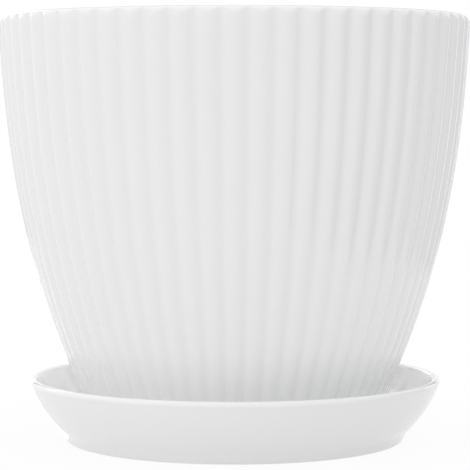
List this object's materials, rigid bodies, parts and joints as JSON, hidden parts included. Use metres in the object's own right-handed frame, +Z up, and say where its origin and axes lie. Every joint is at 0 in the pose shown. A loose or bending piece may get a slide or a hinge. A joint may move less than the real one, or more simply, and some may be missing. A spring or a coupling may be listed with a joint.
{
  "type": "flower pot with saucer",
  "caption": "Round white plastic flower pot with vertical ribs, a rounded rim and a drained floor, standing loose in a smooth flared saucer.",
  "frame": {"origin": "on the ground under the middle of the saucer's foot, which is also the pot's axis", "axes": "+Z up along the axis of the pot and the saucer; a rib crest faces -Y, where the picture's camera stands"},
  "size_m": [0.18, 0.18, 0.163],
  "materials": {
    "white_plastic": "glossy moulded"
  },
  "bodies": {
    "saucer": {"saucer": "white_plastic"},
    "pot": {"pot": "white_plastic"}
  },
  "joints": [
    {"name": "pot_lift", "type": "slide", "parent": "saucer", "child": "pot", "axis": [0, 0, 1], "range_m": [0, 0.06]}
  ]
}
